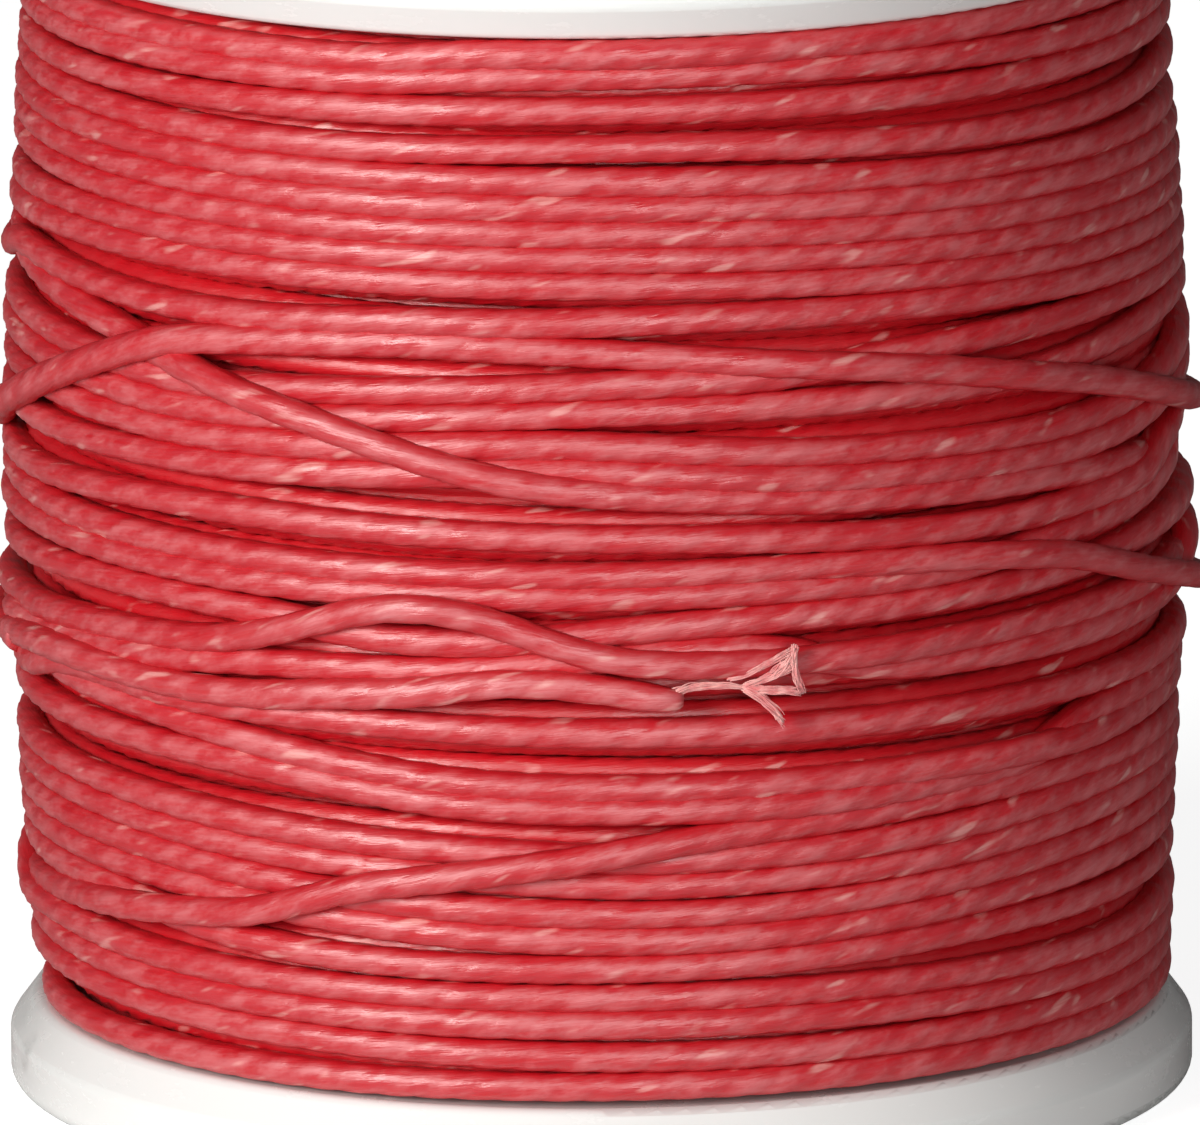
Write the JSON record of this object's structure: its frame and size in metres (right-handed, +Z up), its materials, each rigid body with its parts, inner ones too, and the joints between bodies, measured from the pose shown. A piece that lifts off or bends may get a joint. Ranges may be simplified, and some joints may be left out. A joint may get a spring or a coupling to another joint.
{
  "type": "waxed thread spool",
  "caption": "Small plastic flanged spool wound full with waxed cord for hand stitching, its frayed loose end lying across the winding.",
  "frame": {"origin": "centre of the face that the spool stands on, on the spindle axis", "axes": "+Z up along the spindle axis; -Y towards the side with the loose end; +X to its right"},
  "size_m": [0.0411, 0.0413, 0.042],
  "materials": {
    "white_plastic": "moulded, glossy, faintly warm white",
    "label_paper": "bare uncoated paper ring",
    "waxed_cord": "twisted three-ply cord, dyed red and waxed, with a soft sheen and pale flecks",
    "bare_fibre": "paler, unwaxed fibre at the frayed tip"
  },
  "bodies": {
    "root": {"barrel": "white_plastic", "lower_flange": "white_plastic", "upper_flange": "white_plastic", "lower_label": "label_paper", "upper_label": "label_paper", "cord_inner_end": "waxed_cord", "cord_lower_layers": "waxed_cord", "cord_outer_layer": "waxed_cord", "cord_loose_end": "waxed_cord", "frayed_plies": "bare_fibre"}
  },
  "joints": []
}
